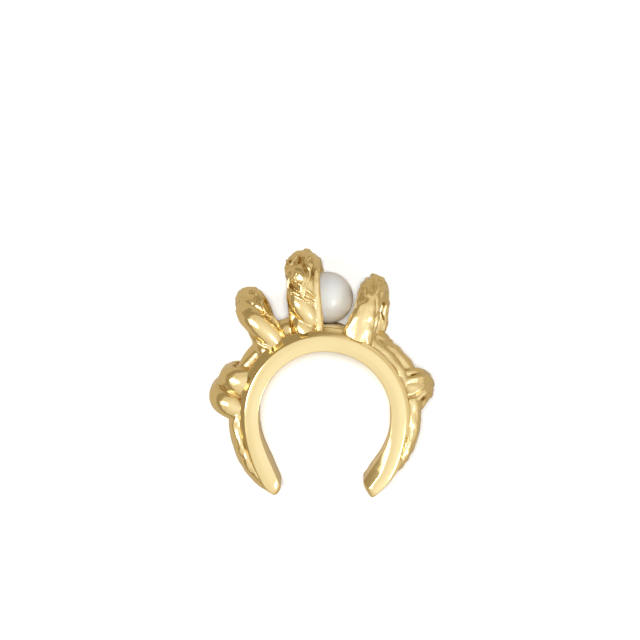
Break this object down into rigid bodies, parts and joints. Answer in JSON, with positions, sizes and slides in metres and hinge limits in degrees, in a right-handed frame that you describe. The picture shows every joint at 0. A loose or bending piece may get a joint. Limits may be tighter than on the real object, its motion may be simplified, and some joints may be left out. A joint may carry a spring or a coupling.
{
  "type": "ear cuff",
  "caption": "Open C-shaped gold ear cuff: a wide flat-rimmed band under a thick twisted rope that winds over it in raised loops, with a round pearl set between the tallest loops.",
  "frame": {"origin": "middle of the cuff's bounding box in plan, on the surface that its flat back rim lies on", "axes": "+Z along the band's axis, from the back rim to the front rim; +Y from the open mouth towards the loops and the pearl; +X to the right as seen from the front rim"},
  "size_m": [0.0172, 0.0186, 0.0074],
  "materials": {
    "gold": "polished pale yellow gold plate over brass",
    "pearl": "soft satin lustre of a cool white pearl"
  },
  "bodies": {
    "root": {"cast_cuff": "gold", "pearl": "pearl"}
  },
  "joints": []
}
